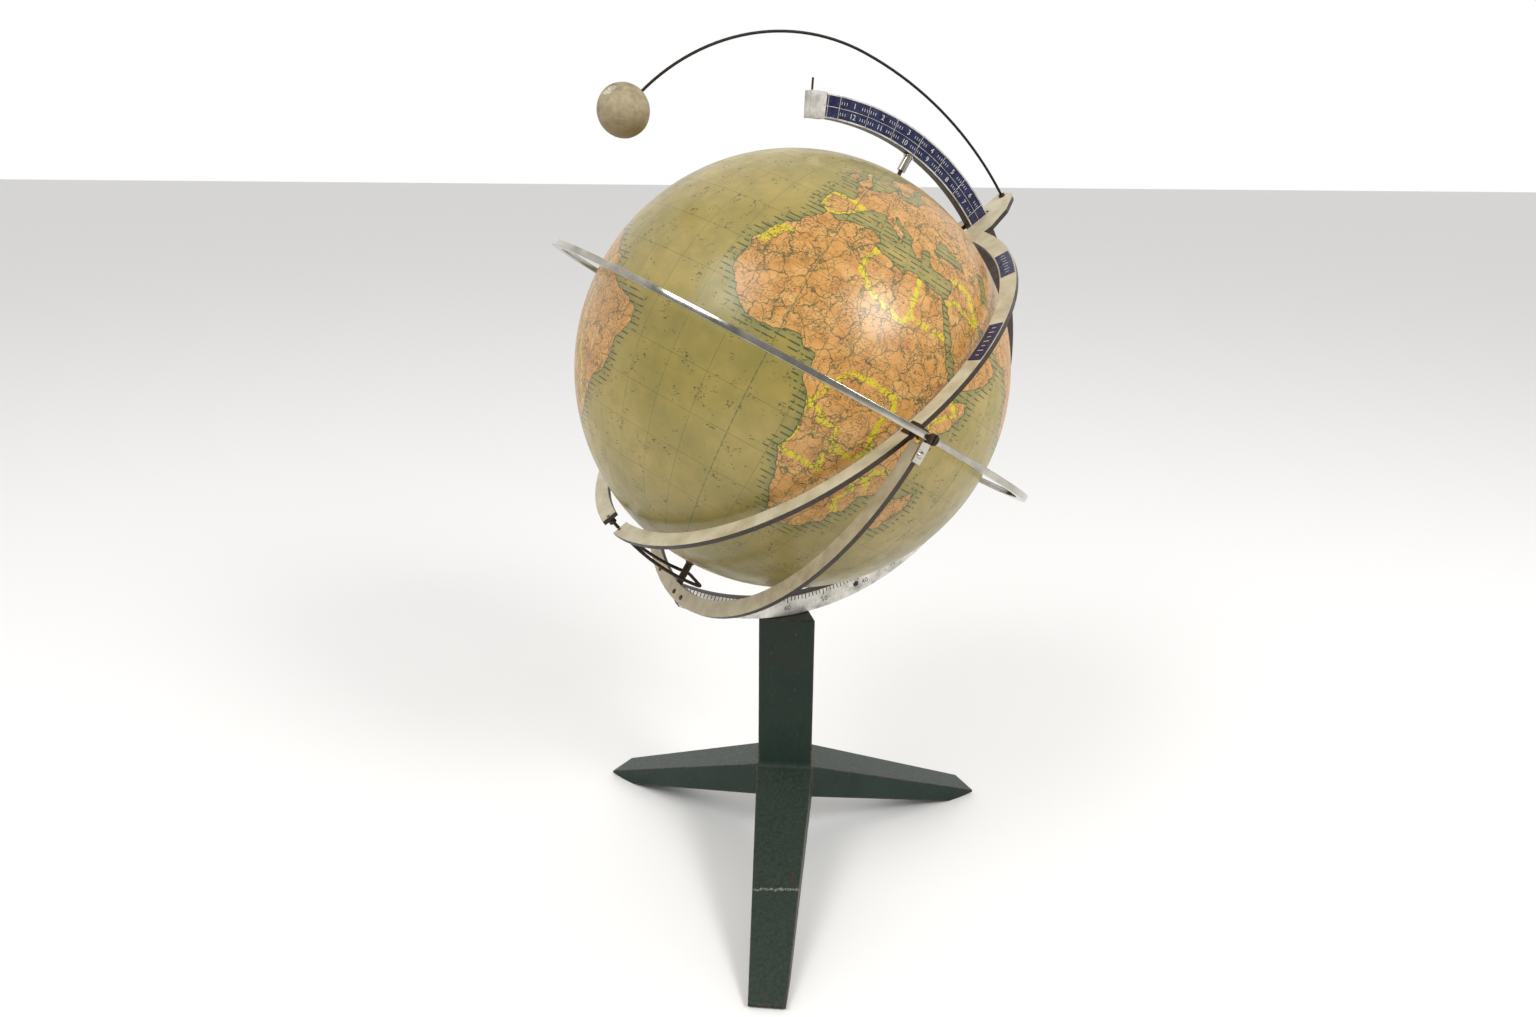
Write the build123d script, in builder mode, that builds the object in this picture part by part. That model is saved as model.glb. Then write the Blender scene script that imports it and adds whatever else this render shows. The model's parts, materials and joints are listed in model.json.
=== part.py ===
from build123d import *

import os
from math import cos, radians, sin

# Tilting school globe with a season ring that carries a small Sun.
# Millimetres, +Z up, the stand's feet on Z = 0 and the origin under the middle of the whole object's box.

# ---------------------------------------------------------------- driving dimensions
globe_radius = 125.0
shell_wall = 2.5
centre_height = 325.4  # globe centre above the ground
centre_x = -2.56
centre_y = 0.33

earth_tilt = 30.79  # lean of the earth axis from upright
mount_heading = 24.97  # turn of the whole upper part on the stand
season_angle = 24.5  # daylight ring ahead of the earth axis at midsummer

meridian_inner, meridian_outer, meridian_thickness = 141.0, 154.0, 6.0
meridian_end = 114.4  # where the ring's moulded body stops, past the north pole
end_block_arc = 3.8
slot_radius = 147.5  # middle of the T slot in the ring's back
slot_neck, slot_head = 3.3, 6.4
neck_depth, head_depth = 1.6, 2.6
slot_first, slot_last = -81.0, -40.9
sight_hole = 2.0
scale_plate = 0.6

equator_inner, equator_outer, equator_thickness = 147.0, 152.5, 3.4
equator_notch = 3.8
yoke_inner, yoke_outer, yoke_thickness = 140.6, 150.0, 2.6
yoke_end_gap = 1.75  # degrees from the equator to the yoke's ends
foot_plate = 1.2
yoke_screw_turns = (-11.2, 0.9, 5.3)  # degrees from the south pole toward the near pivot
yoke_screw_radius = 146.2
bracket_width, bracket_drop, bracket_sheet = 5.0, 11.5, 1.2
rivet_drop = 8.8

ring_inner, ring_outer, ring_thickness = 130.0, 139.4, 2.65
ring_slot_width, ring_slot_reach = 8.0, 155.6
ring_gap = (-5.6, 14.4)  # break at the bottom of the ring, along the hinge
label_sheet = 0.3
label_turns = ((25.6, 37.0), (57.0, 69.0))  # degrees from the ring's top toward the near pivot
block_inner, block_outer, block_width, block_thickness = 132.0, 139.2, 7.8, 3.6

hairpin_radius, hairpin_wire = 134.7, 2.0
hairpin_legs = (-7.1, 15.9)
hairpin_end = -87.4
sun_wire_diameter = 1.5
sun_radius = 13.6
sun_distance = 171.25

fine_pin, running_fit = 2.4, 0.05
pivot_pin = 2.0
south_pin_diameter = 4.4
sleeve_diameter, sleeve_tip = 5.0, 131.2

latitude_margin, month_margin = 0.2, 0.1
latitude_turns, month_start = (-88.6, -1.5), 65.2

leg_reach, leg_hub_half, leg_tip_half = 149.5, 19.0, 10.6
leg_top_hub, leg_top_tip = 70.65, 2.65  # heights of the leg's top at the post's axis and at the tip
leg_under_hub = 46.4
foot_start, foot_stop, nose_lift = 129.0, 137.0, 1.1
foot_trim = 0.2  # taken off under the legs, so that each foot is ground flat
stand_heading = 3.23  # turn of the front leg from straight ahead
post_front, post_back = 10.4, 8.2
post_half_front, post_half_back = 17.5, 11.5
cradle_gap = 0.3
bend_fillet = 4.0
cheek_near, cheek_far, cheek_half, cheek_top = 3.3, 8.6, 12.0, 142.6

clamp_thread, clamp_head = 3.0, 6.0
nut_radius, nut_length, nut_flutes = 6.4, 7.0, 12
washer_radius, washer_sheet = 5.0, 1.0

# ---------------------------------------------------------------- directions and planes
tilt, heading, season = radians(earth_tilt), radians(mount_heading), radians(season_angle)
north = Vector(sin(tilt) * cos(heading), sin(tilt) * sin(heading), cos(tilt))
hinge = Vector(sin(heading), -cos(heading), 0)
across = hinge.cross(north) * -1  # in the equator's plane, square to the hinge, down the slope
ring_top = north * cos(season) + across * sin(season)
sunward = north * sin(season) - across * cos(season)
centre = Vector(centre_x, centre_y, centre_height)

meridian_plane = Plane(origin=centre, x_dir=across, z_dir=hinge)
equator_plane = Plane(origin=centre, x_dir=hinge, z_dir=north)
yoke_plane = Plane(origin=centre, x_dir=hinge, z_dir=across * -1)
ring_plane = Plane(origin=centre, x_dir=hinge, z_dir=sunward)
wire_plane = Plane(origin=centre, x_dir=sunward, z_dir=hinge * -1)
south_plane = Plane(origin=centre, x_dir=hinge, z_dir=north * -1)
clamp_plane = Plane(origin=centre + Vector(0, 0, -slot_radius), x_dir=(0, 0, 1), z_dir=hinge * -1)
near_pivot_plane = Plane(origin=centre, x_dir=north, z_dir=hinge)
far_pivot_plane = Plane(origin=centre, x_dir=north, z_dir=hinge * -1)
front_view = Plane(origin=(centre_x, centre_y, 0), x_dir=(1, 0, 0), z_dir=(0, 0, 1))
stand_plane = front_view.rotated((0, 0, -stand_heading))

north_axis = Axis(centre, north)
hinge_axis = Axis(centre, hinge)
from_base = (Align.CENTER, Align.CENTER, Align.MIN)

finished = []


def polar(radius, angle):
    """Point at a radius and an angle in degrees."""
    return (radius * cos(radians(angle)), radius * sin(radians(angle)))


def ring_sector(inner, outer, first, last, mode=Mode.ADD):
    """Add part of a flat ring, between two angles in degrees, to the sketch in hand."""
    with BuildLine(mode=Mode.PRIVATE) as outline:
        rim = CenterArc((0, 0), outer, first, last - first)
        bore = CenterArc((0, 0), inner, first, last - first)
        Line(rim @ 0, bore @ 0)
        Line(rim @ 1, bore @ 1)
    make_face(outline.edges(), mode=mode)


def finish(piece, name):
    """Label a piece and keep it for writing."""
    piece.part.label = name
    finished.append((piece.part, name))


# ---------------------------------------------------------------- stand
def leg_half(station):
    """Half the leg's width at a distance from the post's axis."""
    return leg_hub_half + (leg_tip_half - leg_hub_half) * station / leg_reach


def leg_top(station):
    """Height of the leg's top at a distance from the post's axis."""
    return leg_top_hub + (leg_top_tip - leg_top_hub) * station / leg_reach


hub_reach = post_front
hub_underside = leg_under_hub * (1 - hub_reach / foot_start)
leg_sections = (
    (hub_reach, hub_underside),
    (foot_start, -foot_trim),
    (foot_stop, -foot_trim),
    (leg_reach, nose_lift),
)
post_top = centre_height - meridian_outer + 4.0
cheek_base = meridian_outer + 10.0
cheek_height = cheek_base - cheek_top

with BuildPart() as stand_casting:
    # Three tapering legs, each flat under the foot and lifted at its nose.
    for turn in (0, 120, 240):
        leg_plane = stand_plane.rotated((0, 0, turn))
        outward = leg_plane.y_dir * -1
        for station, underside in leg_sections:
            middle = (leg_top(station) + underside) / 2
            section_middle = leg_plane.origin + outward * station + Vector(0, 0, middle)
            section = Plane(section_middle, leg_plane.x_dir, outward)
            with BuildSketch(section):
                Rectangle(2 * leg_half(station), leg_top(station) - underside)
        loft(ruled=True)
    # Feet ground flat on one level.
    split(bisect_by=front_view, keep=Keep.TOP)
    # Three-sided hub that the legs grow from.
    with BuildSketch(stand_plane.offset(hub_underside)):
        RegularPolygon(2 * hub_reach, 3, rotation=90)
    extrude(amount=leg_top(hub_reach) - hub_underside)
    # Post, wider at the front, with draft toward the back.
    with BuildSketch(stand_plane.offset(hub_underside)):
        with BuildLine():
            Polyline(
                (-post_half_front, -post_front),
                (post_half_front, -post_front),
                (post_half_back, post_back),
                (-post_half_back, post_back),
                close=True,
            )
        make_face()
    extrude(amount=post_top - hub_underside)
    # Cradle for the meridian ring's outer edge, across the top of the post.
    with BuildSketch(meridian_plane):
        Circle(meridian_outer + cradle_gap)
    extrude(amount=3 * post_front, both=True, mode=Mode.SUBTRACT)
    # Soft bend where the post's front runs into the front leg.
    bend_point = stand_plane.from_local_coords((0, -post_front, leg_top(post_front)))
    fillet(stand_casting.edges().sort_by_distance(bend_point)[:1], bend_fillet)
    # Cheek that stands up behind the meridian ring, with the clamp bolt's hole.
    cheek_middle = centre + Vector(0, 0, cheek_height / 2 - cheek_base)
    with BuildSketch(meridian_plane.offset(-cheek_far)):
        with Locations(meridian_plane.to_local_coords(cheek_middle)):
            Rectangle(cheek_height, 2 * cheek_half, rotation=earth_tilt - 90)
    extrude(amount=cheek_far - cheek_near)
    with Locations(clamp_plane):
        Cylinder(clamp_thread / 2 + running_fit, 3 * cheek_far, mode=Mode.SUBTRACT)
finish(stand_casting, "stand_casting")

with BuildPart(clamp_plane) as clamp_bolt:
    # Round head that slides in the meridian's T slot, shank through cheek, washer and nut.
    head_top = meridian_thickness / 2 - neck_depth - 0.2
    with Locations((0, 0, head_top)):
        Cylinder(clamp_head / 2, head_depth - 0.6, align=(Align.CENTER, Align.CENTER, Align.MAX))
        Cylinder(clamp_thread / 2, cheek_far + washer_sheet + nut_length + 1 - head_top, align=from_base)
finish(clamp_bolt, "clamp_bolt")

with BuildPart(clamp_plane) as clamp_washer:
    with Locations((0, 0, cheek_far)):
        Cylinder(washer_radius, washer_sheet, align=from_base)
        Cylinder(clamp_thread / 2 + running_fit, washer_sheet, align=from_base, mode=Mode.SUBTRACT)
finish(clamp_washer, "clamp_washer")

with BuildPart(clamp_plane) as clamp_thumb_nut:
    nut_seat = cheek_far + washer_sheet
    with BuildSketch(clamp_plane.offset(nut_seat)):
        Circle(nut_radius)
        with PolarLocations(nut_radius, nut_flutes):
            Circle(1.0, mode=Mode.SUBTRACT)
        Circle(clamp_thread / 2 + running_fit, mode=Mode.SUBTRACT)
    extrude(amount=nut_length)
finish(clamp_thumb_nut, "clamp_thumb_nut")

# ---------------------------------------------------------------- meridian ring and its scales
with BuildPart() as meridian_ring:
    with BuildSketch(meridian_plane):
        ring_sector(meridian_inner, meridian_outer, -90, meridian_end)
        # Flat end against the yoke's foot plate, its outer corner trimmed.
        with Locations((0, -slot_radius)):
            Rectangle(yoke_thickness + 2 * foot_plate, 20, mode=Mode.SUBTRACT)
        with BuildLine(mode=Mode.PRIVATE) as corner:
            Polyline((0, -149), (13, -160), (0, -160), close=True)
        make_face(corner.edges(), mode=Mode.SUBTRACT)
        # Notch that holds the equator ring.
        with Locations((equator_inner - 0.1, 0)):
            Rectangle(20, equator_notch, align=(Align.MIN, Align.CENTER), mode=Mode.SUBTRACT)
    extrude(amount=meridian_thickness / 2, both=True)
    with BuildSketch(meridian_plane.offset(-meridian_thickness / 2)):
        ring_sector(slot_radius - slot_neck / 2, slot_radius + slot_neck / 2, slot_first, slot_last)
    extrude(amount=neck_depth, mode=Mode.SUBTRACT)
    with BuildSketch(meridian_plane.offset(neck_depth - meridian_thickness / 2)):
        ring_sector(slot_radius - slot_head / 2, slot_radius + slot_head / 2, slot_first, slot_last)
    extrude(amount=head_depth, mode=Mode.SUBTRACT)
    # Entry for the bolt's head from the back, and the sight hole in front of it.
    with BuildSketch(meridian_plane.offset(-meridian_thickness / 2)):
        with Locations(polar(slot_radius, slot_last)):
            Circle(slot_head / 2)
    extrude(amount=neck_depth + head_depth, mode=Mode.SUBTRACT)
    with BuildSketch(meridian_plane):
        with Locations(polar(slot_radius, slot_last)):
            Circle(sight_hole)
    extrude(amount=meridian_thickness, mode=Mode.SUBTRACT)
    # Holes for the north sleeve's stub and for the screw that pins the equator ring.
    with Locations(equator_plane.offset(meridian_inner)):
        Cylinder(1.5, 14, mode=Mode.SUBTRACT)
    with Locations(Plane(centre + across * equator_inner, z_dir=across)):
        Cylinder(0.8, 16, mode=Mode.SUBTRACT)
finish(meridian_ring, "meridian_ring")

with BuildPart() as latitude_scale:
    with BuildSketch(meridian_plane.offset(meridian_thickness / 2)):
        ring_sector(meridian_inner + latitude_margin, meridian_outer - latitude_margin, *latitude_turns)
        with BuildLine(mode=Mode.PRIVATE) as plate_corner:
            Polyline((0, -148.6), (14, -160), (0, -160), close=True)
        make_face(plate_corner.edges(), mode=Mode.SUBTRACT)
        with Locations(polar(slot_radius, slot_last)):
            Circle(sight_hole, mode=Mode.SUBTRACT)
    extrude(amount=scale_plate)
finish(latitude_scale, "latitude_scale")

with BuildPart() as month_scale:
    with BuildSketch(meridian_plane.offset(meridian_thickness / 2)):
        ring_sector(meridian_inner + month_margin, meridian_outer - month_margin, month_start, meridian_end)
    extrude(amount=scale_plate)
finish(month_scale, "month_scale")

with BuildPart() as meridian_end_block:
    with BuildSketch(meridian_plane.offset(-meridian_thickness / 2 - 0.4)):
        ring_sector(meridian_inner - 0.5, meridian_outer + 0.5, meridian_end, meridian_end + end_block_arc)
    extrude(amount=meridian_thickness + scale_plate + 1.0)
    fillet(meridian_end_block.edges().filter_by(GeomType.LINE), 0.5)
    stop_direction = meridian_plane.from_local_coords(polar(1, meridian_end + end_block_arc - 1.0)) - centre
    stop_plane = Plane(origin=centre, x_dir=hinge, z_dir=stop_direction)
    with Locations(stop_plane.offset(meridian_outer)):
        Cylinder(0.6, 12, mode=Mode.SUBTRACT)
finish(meridian_end_block, "meridian_end_block")

with BuildPart(stop_plane) as end_stop_pin:
    with Locations((0, 0, meridian_outer - 6)):
        Cylinder(0.6, 13, align=from_base)
finish(end_stop_pin, "end_stop_pin")

# ---------------------------------------------------------------- equator ring, yoke and their fastenings
with BuildPart() as equator_ring:
    with BuildSketch(equator_plane):
        Circle(equator_outer)
        Circle(equator_inner, mode=Mode.SUBTRACT)
    extrude(amount=equator_thickness / 2, both=True)
    fillet(equator_ring.edges(), 0.35)
    for pivot in (near_pivot_plane, far_pivot_plane):
        with Locations(pivot.offset(equator_inner)):
            Cylinder(pivot_pin / 2, 20, mode=Mode.SUBTRACT)
    with Locations(Plane(centre + across * equator_inner, z_dir=across)):
        Cylinder(0.8, 20, mode=Mode.SUBTRACT)
finish(equator_ring, "equator_ring")

with BuildPart(Plane(centre, x_dir=hinge, z_dir=across)) as equator_screw:
    # Small pan-head screw that pins the equator ring in the meridian's notch.
    with Locations((0, 0, equator_outer)):
        Cylinder(1.7, 0.9, align=from_base)
        Box(3.6, 0.5, 0.8, mode=Mode.SUBTRACT)
        Cylinder(0.8, equator_outer - meridian_inner - 0.8, align=(Align.CENTER, Align.CENTER, Align.MAX))
finish(equator_screw, "equator_screw")

with BuildPart() as south_yoke:
    with BuildSketch(yoke_plane):
        ring_sector(yoke_inner, yoke_outer, yoke_end_gap - 180, -yoke_end_gap)
    extrude(amount=yoke_thickness / 2, both=True)
    with BuildSketch(yoke_plane):
        for turn in yoke_screw_turns:
            with Locations(polar(yoke_screw_radius, turn - 90)):
                Circle(0.8)
    extrude(amount=yoke_thickness, both=True, mode=Mode.SUBTRACT)
    with Locations(south_plane.offset(yoke_inner)):
        Cylinder(0.8, 16, mode=Mode.SUBTRACT)
    for side in (1, -1):
        with Locations(Plane(centre + north * -rivet_drop + hinge * side * yoke_outer, z_dir=hinge)):
            Cylinder(0.8, 14, mode=Mode.SUBTRACT)
finish(south_yoke, "south_yoke")

with BuildPart() as yoke_foot_plate:
    # Strip between the yoke's back and the meridian's flat end.
    with BuildSketch(yoke_plane.offset(-yoke_thickness / 2 - foot_plate)):
        ring_sector(yoke_inner + 1, yoke_outer - 1, -104, -82)
        for turn in yoke_screw_turns:
            with Locations(polar(yoke_screw_radius, turn - 90)):
                Circle(0.8, mode=Mode.SUBTRACT)
    extrude(amount=foot_plate)
finish(yoke_foot_plate, "yoke_foot_plate")

with BuildPart() as yoke_screws:
    for turn in yoke_screw_turns:
        x, y = polar(yoke_screw_radius, turn - 90)
        with Locations(yoke_plane.offset(yoke_thickness / 2) * Pos(x, y, 0)):
            Cylinder(1.4, 0.6, align=from_base)
            Box(3.0, 0.5, 0.5, mode=Mode.SUBTRACT, align=(Align.CENTER, Align.CENTER, Align.CENTER))
            Cylinder(0.8, yoke_thickness + foot_plate, align=(Align.CENTER, Align.CENTER, Align.MAX))
finish(yoke_screws, "yoke_screws")

for side, name in ((1, "near"), (-1, "far")):
    bracket_plane = Plane(centre, x_dir=hinge * side, z_dir=across * -side)
    with BuildPart() as yoke_bracket:
        # Bent strip: one leaf under the equator ring, one down the yoke's outer edge.
        with BuildSketch(bracket_plane):
            with BuildLine():
                Polyline(
                    (equator_inner + 0.1, -equator_thickness / 2),
                    (yoke_outer + bracket_sheet, -equator_thickness / 2),
                    (yoke_outer + bracket_sheet, -equator_thickness / 2 - bracket_drop),
                    (yoke_outer, -equator_thickness / 2 - bracket_drop),
                    (yoke_outer, -equator_thickness / 2 - bracket_sheet),
                    (equator_inner + 0.1, -equator_thickness / 2 - bracket_sheet),
                    close=True,
                )
            make_face()
        extrude(amount=bracket_width / 2, both=True)
        with Locations(Plane(centre + north * -rivet_drop + hinge * side * yoke_outer, z_dir=hinge)):
            Cylinder(0.8, 14, mode=Mode.SUBTRACT)
    finish(yoke_bracket, "yoke_bracket_" + name)

with BuildPart() as yoke_rivets:
    for side in (1, -1):
        rivet_plane = Plane(centre + north * -rivet_drop, x_dir=north, z_dir=hinge * side)
        with Locations(rivet_plane.offset(yoke_outer + bracket_sheet)):
            Cylinder(0.8, 7, align=(Align.CENTER, Align.CENTER, Align.MAX))
            Cone(1.9, 1.0, 1.2, align=from_base)
finish(yoke_rivets, "yoke_rivets")

# ---------------------------------------------------------------- hinge pivots of the daylight ring
for pivot, name in ((near_pivot_plane, "near"), (far_pivot_plane, "far")):
    with BuildPart(pivot) as pivot_screw:
        with Locations((0, 0, equator_outer)):
            Cylinder(2.75, 2.4, align=from_base)
            Cylinder(pivot_pin / 2, equator_outer - block_inner - 1, align=(Align.CENTER, Align.CENTER, Align.MAX))
        with Locations((0, 0, equator_outer + 2.4)):
            Box(6, 0.7, 1.4, mode=Mode.SUBTRACT)
    finish(pivot_screw, "pivot_screw_" + name)

    with BuildPart(pivot) as pivot_nut:
        with BuildSketch(pivot.offset(equator_inner - 4.5)):
            RegularPolygon(3.0, 6)
            Circle(pivot_pin / 2, mode=Mode.SUBTRACT)
        extrude(amount=4.4)
    finish(pivot_nut, "pivot_nut_" + name)

# ---------------------------------------------------------------- polar sleeve and pins
with BuildPart(equator_plane) as north_sleeve:
    with Locations((0, 0, sleeve_tip)):
        Cylinder(sleeve_diameter / 2, meridian_inner - 1 - sleeve_tip, align=from_base)
    with Locations((0, 0, meridian_inner - 1)):
        Cylinder(3.4, 0.95, align=from_base)
        Cylinder(1.5, 6.5, align=from_base)
    with Locations((0, 0, sleeve_tip)):
        Cylinder(fine_pin / 2, 7, align=from_base, mode=Mode.SUBTRACT)
finish(north_sleeve, "north_sleeve")

pin_tip = globe_radius - 10.5
collar_base = globe_radius + 1.2
with BuildPart(equator_plane) as north_pin:
    with Locations((0, 0, pin_tip)):
        Cylinder(fine_pin / 2, sleeve_tip + 6.8 - pin_tip, align=from_base)
    with Locations((0, 0, collar_base)):
        Cylinder(2.3, 1.2, align=from_base)
finish(north_pin, "north_pin")

with BuildPart(south_plane) as south_pin:
    # Journal in the globe, shoulder, stout pin up to the yoke and a tenon into it.
    with Locations((0, 0, pin_tip)):
        Cylinder(fine_pin / 2, yoke_inner - pin_tip, align=from_base)
    with Locations((0, 0, collar_base)):
        Cone(3.7, south_pin_diameter / 2, 1.6, align=from_base)
        Cylinder(south_pin_diameter / 2, yoke_inner - 0.05 - collar_base, align=from_base)
    with Locations((0, 0, yoke_inner - 1)):
        Cylinder(0.8, 8.8, align=from_base)
finish(south_pin, "south_pin")

# ---------------------------------------------------------------- globe
bush_radius = 3.5
bush_base = globe_radius - 12.0
for name, first, last in (("globe_north_shell", 0, 90), ("globe_south_shell", -90, 0)):
    with BuildPart() as shell:
        with BuildSketch(yoke_plane):
            ring_sector(globe_radius - shell_wall, globe_radius, first, last)
            Rectangle(2 * bush_radius, 3 * globe_radius, mode=Mode.SUBTRACT)
        revolve(axis=north_axis)
    finish(shell, name)

with BuildPart() as globe_joint_band:
    with BuildSketch(yoke_plane):
        ring_sector(globe_radius - shell_wall - 2, globe_radius - shell_wall, -5, 5)
    revolve(axis=north_axis)
finish(globe_joint_band, "globe_joint_band")

with BuildPart(equator_plane) as globe_axle:
    Cylinder(6.0, 2 * bush_base)
finish(globe_axle, "globe_axle")

for pole_plane, name in ((equator_plane, "north_bush"), (south_plane, "south_bush")):
    with BuildPart(pole_plane) as bush:
        with Locations((0, 0, bush_base)):
            Cylinder(bush_radius, globe_radius - bush_base, align=from_base)
        with Locations((0, 0, globe_radius - 0.04)):
            Cylinder(bush_radius + 1, 1, align=from_base)
        with Locations((0, 0, bush_base)):
            Cylinder(fine_pin / 2 + running_fit, 20, align=from_base, mode=Mode.SUBTRACT)
    finish(bush, name)

# ---------------------------------------------------------------- daylight ring and what it carries
wire_foot = (-0.9, 170.2)  # where the Sun's wire is fixed: along the hinge, and out from the centre
lug_outline = (
    (-15.0, 136.0),
    (-6.2, 155.2),
    (-6.0, 157.9),
    (-7.0, 172.9),
    (4.1, 173.7),
    (8.4, 171.0),
    (17.0, 159.0),
    (21.8, 143.1),
    (21.3, 136.0),
)
with BuildPart() as daylight_ring:
    with BuildSketch(ring_plane):
        Circle(ring_outer)
        with BuildLine():
            Polyline(*lug_outline, close=True)
        make_face()
        Circle(ring_inner, mode=Mode.SUBTRACT)
        # Slot that straddles the meridian ring.
        with Locations((0, ring_inner - 5)):
            Rectangle(
                ring_slot_width,
                ring_slot_reach - ring_inner + 5,
                align=(Align.CENTER, Align.MIN),
                mode=Mode.SUBTRACT,
            )
        with Locations((ring_gap[0], -ring_inner)):
            Rectangle(ring_gap[1] - ring_gap[0], 40, align=(Align.MIN, Align.CENTER), mode=Mode.SUBTRACT)
        for side in (1, -1):
            with Locations((side * (block_inner + 10), 0)):
                Rectangle(20, block_width, mode=Mode.SUBTRACT)
        with Locations(wire_foot):
            Circle(sun_wire_diameter / 2 + 0.1, mode=Mode.SUBTRACT)
        for leg in hairpin_legs:
            with Locations((leg, -hairpin_radius)):
                Circle(hairpin_wire / 2 + 0.1, mode=Mode.SUBTRACT)
    extrude(amount=ring_thickness / 2, both=True)
finish(daylight_ring, "daylight_ring")

with BuildPart() as ring_labels:
    with BuildSketch(ring_plane.offset(ring_thickness / 2)):
        for first, last in label_turns:
            ring_sector(ring_inner + 0.8, ring_outer - 0.8, 90 - last, 90 - first)
    extrude(amount=label_sheet)
finish(ring_labels, "ring_labels")

for side, name in ((1, "near"), (-1, "far")):
    with BuildPart(ring_plane) as ring_pivot_block:
        with Locations((side * (block_inner + block_outer) / 2, 0, 0)):
            Box(block_outer - block_inner, block_width, block_thickness)
            Cylinder(pivot_pin / 2 + running_fit, 20, rotation=(0, 90, 0), mode=Mode.SUBTRACT)
    finish(ring_pivot_block, "ring_pivot_block_" + name)

with BuildPart() as hairpin_bracket:
    # Two legs that bend about the hinge, and the closed end across them.
    ring_bottom = -90.0 - season_angle
    legs_start = ring_bottom - 0.55
    for leg in hairpin_legs:
        start_x, start_y = polar(hairpin_radius, legs_start)
        leg_base = meridian_plane.from_local_coords((start_x, start_y, leg))
        outward = (meridian_plane.from_local_coords((start_x, start_y, 0)) - centre).normalized()
        with BuildSketch(Plane(leg_base, x_dir=hinge, z_dir=hinge.cross(outward))):
            Circle(hairpin_wire / 2)
        revolve(axis=hinge_axis, revolution_arc=hairpin_end - legs_start)
    end_x, end_y = polar(hairpin_radius, hairpin_end)
    for leg in hairpin_legs:
        with Locations(meridian_plane.offset(leg) * Pos(end_x, end_y, 0)):
            Sphere(hairpin_wire / 2)
    with Locations(meridian_plane.offset(hairpin_legs[0]) * Pos(end_x, end_y, 0)):
        Cylinder(hairpin_wire / 2, hairpin_legs[1] - hairpin_legs[0], align=from_base)
finish(hairpin_bracket, "hairpin_bracket")

with BuildPart() as hairpin_collars:
    with BuildSketch(ring_plane.offset(-ring_thickness / 2 - 2.4)):
        for leg in hairpin_legs:
            with Locations((leg, -hairpin_radius)):
                Circle(2.2)
                Circle(hairpin_wire / 2 + 0.1, mode=Mode.SUBTRACT)
    extrude(amount=2.4)
finish(hairpin_collars, "hairpin_collars")

# ---------------------------------------------------------------- Sun on its wire
wire_start = (-2.2, wire_foot[1])
wire_shoulder = (119.1, 133.4)
wire_end = (172.2, 9.5)
side_plane = wire_plane.offset(-wire_foot[0])
with BuildPart() as sun_wire:
    with BuildLine(side_plane) as wire_path:
        rise = ThreePointArc(wire_start, (62.0, 160.4), wire_shoulder)
        TangentArc(wire_shoulder, wire_end, tangent=rise % 1)
    with BuildSketch(Plane(wire_path.line @ 0, z_dir=wire_path.line % 0)):
        Circle(sun_wire_diameter / 2)
    sweep(path=wire_path.line)
finish(sun_wire, "sun_wire")

with BuildPart() as sun_ball:
    with Locations(side_plane * Pos(sun_distance, 2.5, 0)):
        Sphere(sun_radius)
    add(sun_wire.part, mode=Mode.SUBTRACT)
finish(sun_ball, "sun_ball")

with BuildPart() as wire_ferrule:
    with BuildSketch(ring_plane.offset(ring_thickness / 2)):
        with Locations(wire_foot):
            Circle(1.9)
            Circle(sun_wire_diameter / 2 + 0.1, mode=Mode.SUBTRACT)
    extrude(amount=1.2)
finish(wire_ferrule, "wire_ferrule")

# ---------------------------------------------------------------- writing
os.makedirs("parts", exist_ok=True)
for part, name in finished:
    export_step(part, "parts/" + name + ".step")
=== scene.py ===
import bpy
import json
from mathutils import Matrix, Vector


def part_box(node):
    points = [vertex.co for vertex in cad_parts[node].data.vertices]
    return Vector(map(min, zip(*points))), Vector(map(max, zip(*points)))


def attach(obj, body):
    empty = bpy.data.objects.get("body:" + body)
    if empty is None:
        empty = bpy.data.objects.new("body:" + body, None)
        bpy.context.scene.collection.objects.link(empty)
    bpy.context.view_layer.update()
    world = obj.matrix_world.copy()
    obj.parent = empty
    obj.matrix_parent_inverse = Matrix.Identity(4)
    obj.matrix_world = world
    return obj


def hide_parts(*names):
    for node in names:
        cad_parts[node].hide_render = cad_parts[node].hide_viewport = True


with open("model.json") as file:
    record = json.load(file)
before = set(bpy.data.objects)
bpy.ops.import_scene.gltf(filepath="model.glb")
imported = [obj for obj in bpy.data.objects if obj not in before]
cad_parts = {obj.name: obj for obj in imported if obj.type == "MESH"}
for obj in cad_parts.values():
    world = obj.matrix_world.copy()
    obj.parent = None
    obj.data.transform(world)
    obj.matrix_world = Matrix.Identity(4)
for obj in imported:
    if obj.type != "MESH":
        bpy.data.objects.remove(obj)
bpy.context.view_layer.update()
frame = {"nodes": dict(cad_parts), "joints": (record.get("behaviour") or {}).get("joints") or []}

import json
from math import atan2, cos, degrees, pi, radians, sin

import bmesh
import bpy
import numpy as np
from mathutils import Matrix, Vector, noise

# A tilting globe in a meridian ring, with an equator ring, a south yoke and a hinged season ring that
# carries a plaster Sun on a wire, all on a painted three-legged stand.

mm = 0.001
joints = {joint["name"]: joint for joint in frame["joints"]}
centre = Vector(joints["globe_spin"]["pos_m"])
north = Vector(joints["globe_spin"]["axis"]).normalized()
hinge = Vector(joints["season_hinge"]["axis"]).normalized()
across = north.cross(hinge)
season = radians(24.5)
ring_top = north * cos(season) + across * sin(season)
sunward = north * sin(season) - across * cos(season)

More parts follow.
